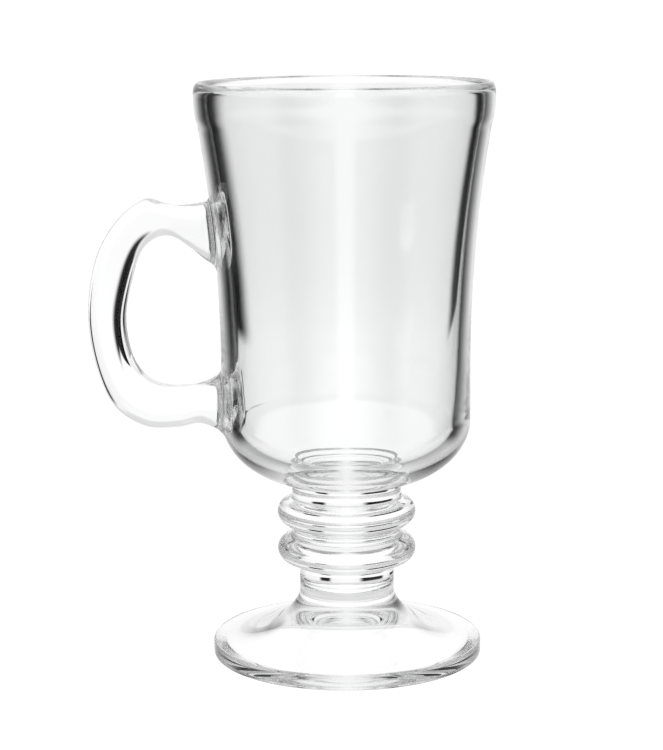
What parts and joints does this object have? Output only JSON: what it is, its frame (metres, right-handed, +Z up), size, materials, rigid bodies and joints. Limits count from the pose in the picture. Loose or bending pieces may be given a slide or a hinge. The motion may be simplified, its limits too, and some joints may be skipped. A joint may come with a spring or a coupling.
{
  "type": "irish coffee mug",
  "caption": "Footed mug of clear glass for hot drinks: a tall bowl flaring to a rounded rim, a looped side handle, a knopped stem and a round foot with a domed underside.",
  "frame": {"origin": "middle of the whole footprint, bowl and handle together, on the surface that the foot stands on", "axes": "+Z up along the axis of bowl, stem and foot, which stands 13.75 mm to +X of the origin; the handle points to -X; +Y is across the handle"},
  "size_m": [0.1036, 0.076, 0.148],
  "materials": {
    "clear_glass": "clear, colourless, fire-polished pressed glass"
  },
  "bodies": {
    "root": {"bowl": "clear_glass", "handle": "clear_glass", "collar": "clear_glass", "stem": "clear_glass", "foot": "clear_glass"}
  },
  "joints": []
}
